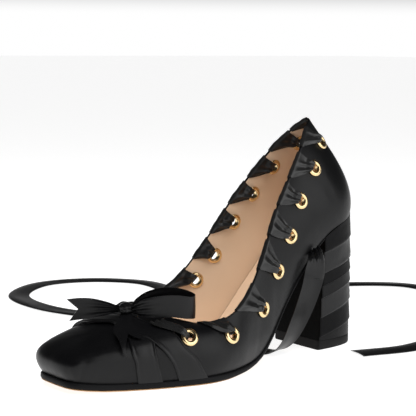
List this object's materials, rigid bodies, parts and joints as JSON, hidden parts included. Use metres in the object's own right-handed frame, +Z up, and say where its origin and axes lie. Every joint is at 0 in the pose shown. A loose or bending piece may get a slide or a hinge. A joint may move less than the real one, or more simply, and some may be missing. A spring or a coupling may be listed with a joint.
{
  "type": "lace up heel",
  "caption": "Square-toed satin court shoe with a high block heel, ribbon whipped through ringed holes round the collar, a bow on the vamp and loose ankle ties.",
  "frame": {"origin": "middle of the heel's tread, on the floor", "axes": "-Y towards the toe, +Z up, +X to the outer side of this left shoe"},
  "size_m": [0.3441, 0.4099, 0.1475],
  "materials": {
    "black_satin": "satin weave",
    "covered_edge": "satin weave",
    "tan_outsole": "smooth",
    "beige_insole": "soft matte",
    "black_top_piece": "matte",
    "pale_gold": "polished"
  },
  "bodies": {
    "root": {"outsole": "tan_outsole", "sole_edge": "covered_edge", "insole": "beige_insole", "upper": "black_satin", "heel_block": "black_satin", "top_piece": "black_top_piece", "eyelet_lateral_1": "pale_gold", "eyelet_lateral_2": "pale_gold", "eyelet_lateral_3": "pale_gold", "eyelet_lateral_4": "pale_gold", "eyelet_lateral_5": "pale_gold", "eyelet_lateral_6": "pale_gold", "eyelet_lateral_7": "pale_gold", "eyelet_lateral_8": "pale_gold", "eyelet_medial_1": "pale_gold", "eyelet_medial_2": "pale_gold", "eyelet_medial_3": "pale_gold", "eyelet_medial_4": "pale_gold", "eyelet_medial_5": "pale_gold", "eyelet_medial_6": "pale_gold", "eyelet_medial_7": "pale_gold", "eyelet_medial_8": "pale_gold", "lacing_lateral": "black_satin", "lacing_medial": "black_satin", "band_front": "black_satin", "band_rear": "black_satin", "bow": "black_satin", "tie_lateral": "black_satin", "tie_medial": "black_satin"}
  },
  "joints": []
}
